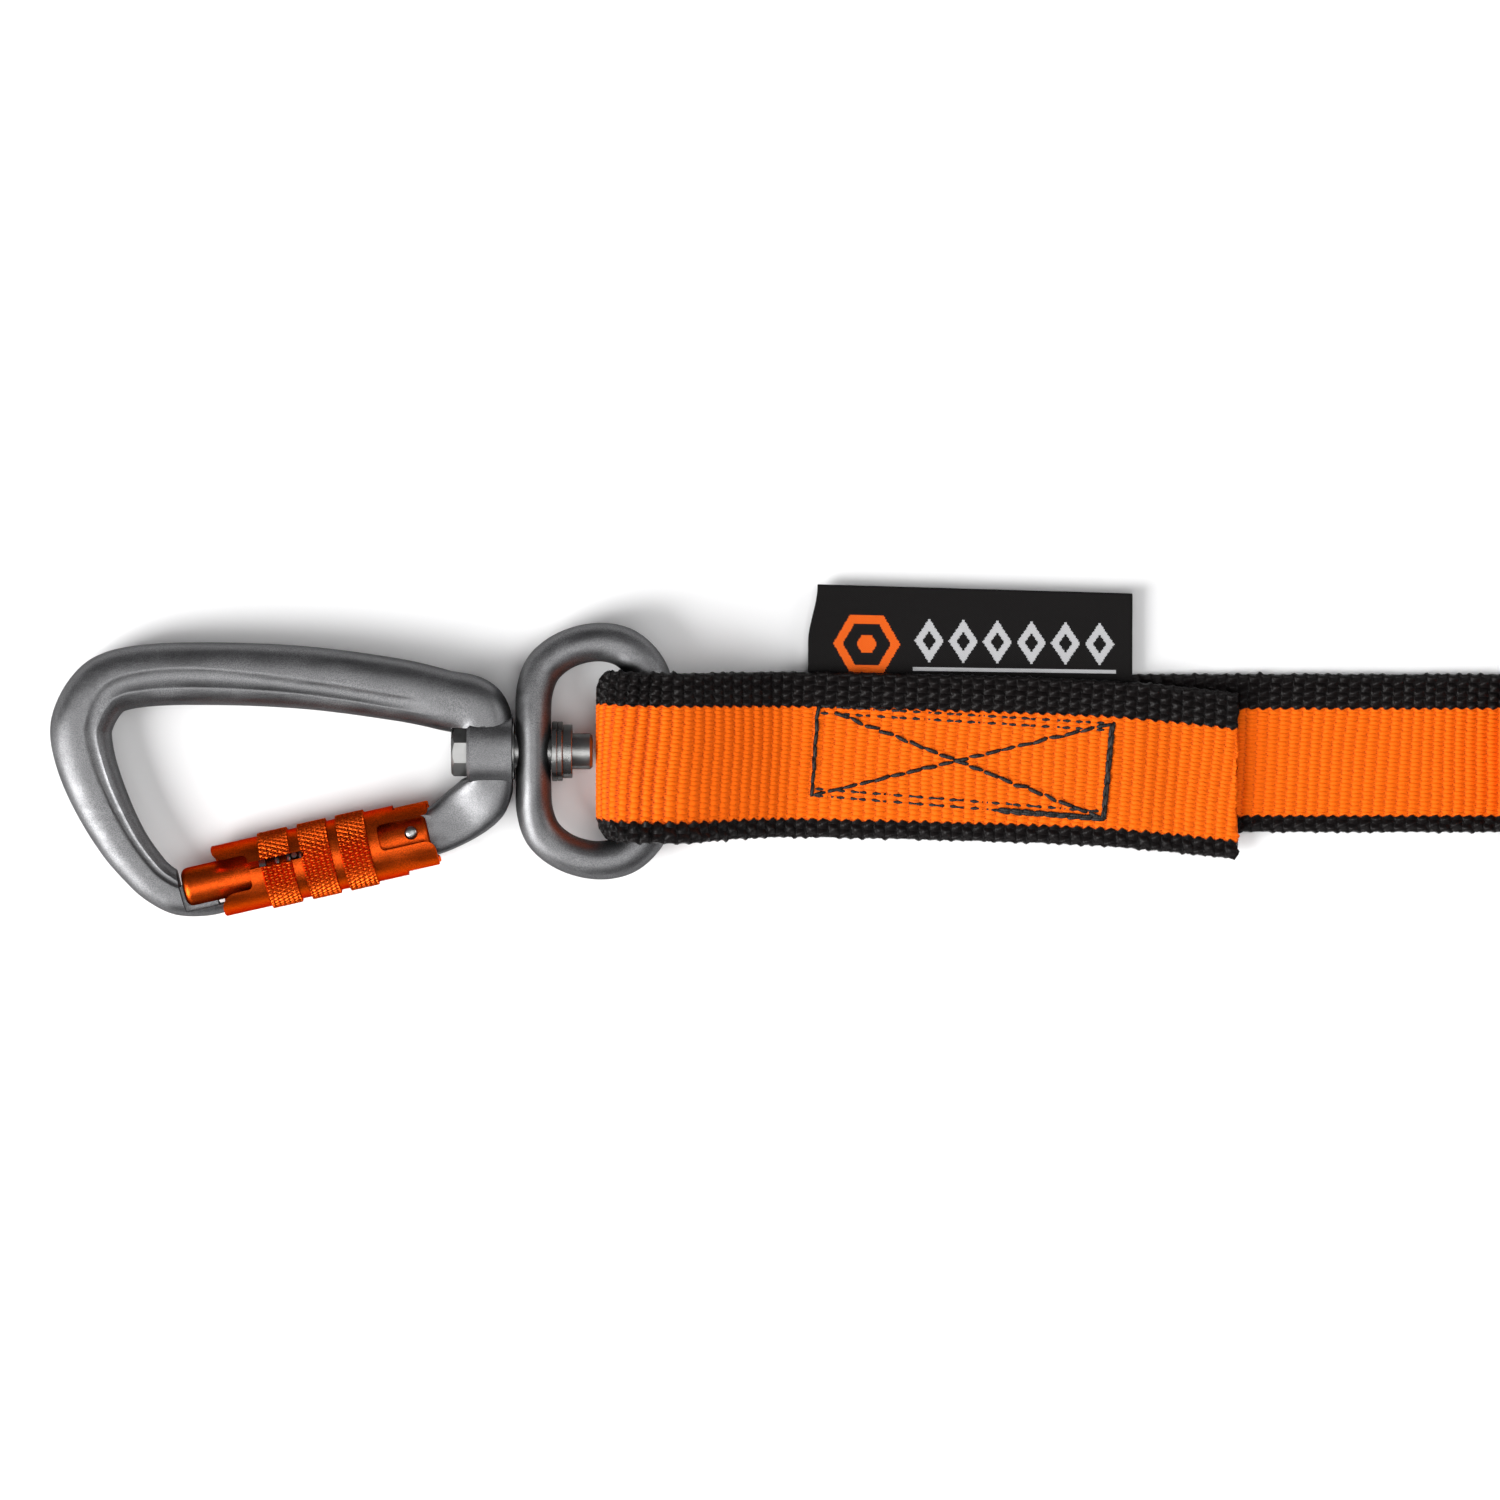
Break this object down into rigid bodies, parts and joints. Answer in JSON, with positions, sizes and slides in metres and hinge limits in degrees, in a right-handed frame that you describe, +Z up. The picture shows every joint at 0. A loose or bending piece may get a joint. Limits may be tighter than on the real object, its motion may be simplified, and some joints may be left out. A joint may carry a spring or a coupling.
{
  "type": "webbing lead with locking swivel carabiner",
  "caption": "Short webbing lead: a swivel carabiner with an auto-locking sleeve, a sewn loop with a woven label, and a hand loop folded into a tied hank.",
  "frame": {"origin": "under the middle of the whole part, on the surface it lies on", "axes": "+X along the webbing, from the carabiner's basket to the hank; +Y across the webbing, from the gate's side to the label's side; +Z up out of the surface"},
  "size_m": [0.4229, 0.0525, 0.0135],
  "materials": {
    "forged_aluminium": "bead-blasted, satin",
    "orange_anodised": "satin orange anodised aluminium",
    "steel": "turned, semi-bright",
    "webbing": "ribbed polypropylene webbing, orange with black edges",
    "label": "fine woven black label",
    "thread": "bonded black thread",
    "tie_band": "black hook-and-loop band"
  },
  "bodies": {
    "lead": {"webbing_strap": "webbing", "webbing_tail": "webbing", "woven_label": "label", "lead_stitch": "thread", "webbing_hank": "webbing", "hand_loop": "webbing", "handle_stitch": "thread", "hank_tie": "tie_band"},
    "bow": {"swivel_bow": "forged_aluminium"},
    "carabiner": {"carabiner_frame": "forged_aluminium", "swivel_bolt": "steel", "hub_washer": "steel", "bow_washer": "steel", "spring_washer": "steel", "swivel_nut": "steel"},
    "gate": {"gate": "orange_anodised", "gate_pivot_pin": "steel", "gate_plunger": "steel", "gate_spring": "steel", "lock_guide_pin": "steel", "sleeve_spring": "steel"},
    "slider": {"sleeve_thrust_ring": "steel"},
    "sleeve": {"lock_sleeve": "orange_anodised"}
  },
  "joints": [
    {"name": "bow_swing", "type": "hinge", "parent": "lead", "child": "bow", "pos_m": [-0.1159, 0, 0.0061], "axis": [0, 1, 0], "range_deg": [0, 100]},
    {"name": "swivel", "type": "hinge", "parent": "bow", "child": "carabiner", "pos_m": [-0.13515, 0, 0.0061], "axis": [1, 0, 0], "continuous": true},
    {"name": "gate_open", "type": "hinge", "parent": "carabiner", "child": "gate", "pos_m": [-0.1544, -0.01268, 0.0061], "axis": [0, 0, -1], "range_deg": [0, 28], "stiffness_Nm_per_rad": 0.05, "springref_deg": -11.46},
    {"name": "sleeve_slide", "type": "slide", "parent": "gate", "child": "slider", "axis": [0.9751, 0.2215, 0], "range_m": [0, 0.003], "stiffness_N_per_m": 300, "springref_m": -0.003, "deforming": ["sleeve_spring"]},
    {"name": "sleeve_twist", "type": "hinge", "parent": "slider", "child": "sleeve", "pos_m": [-0.17042, -0.01734, 0.0061], "axis": [0.9751, 0.2215, 0], "range_deg": [0, 95], "stiffness_Nm_per_rad": 0.004, "springref_deg": -17.19}
  ]
}
